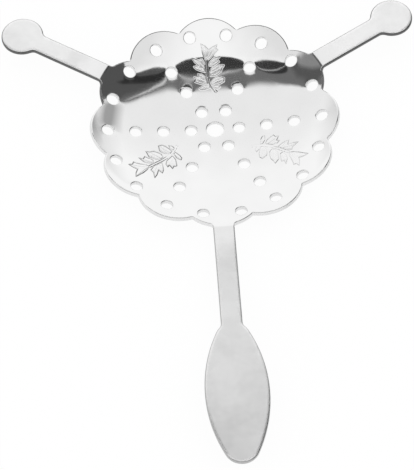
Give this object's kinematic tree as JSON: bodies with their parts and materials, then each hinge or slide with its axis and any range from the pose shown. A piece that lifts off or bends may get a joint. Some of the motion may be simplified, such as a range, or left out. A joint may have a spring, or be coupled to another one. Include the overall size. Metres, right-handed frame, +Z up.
{
  "type": "absinthe spoon",
  "caption": "Shallow scalloped dish of pierced stamped sheet with leaf sprigs, flat arms with round ends that rest on a glass, and a flat oval handle.",
  "frame": {"origin": "centre of the lower edge of the middle hole, which the dish stands on", "axes": "+Z up, out of the hollow side of the dish; -Y along the handle; +X to the right arm"},
  "size_m": [0.1266, 0.157, 0.0076],
  "materials": {
    "steel": "polished dish with a satin handle and arms"
  },
  "bodies": {
    "root": {"spoon": "steel"}
  },
  "joints": []
}
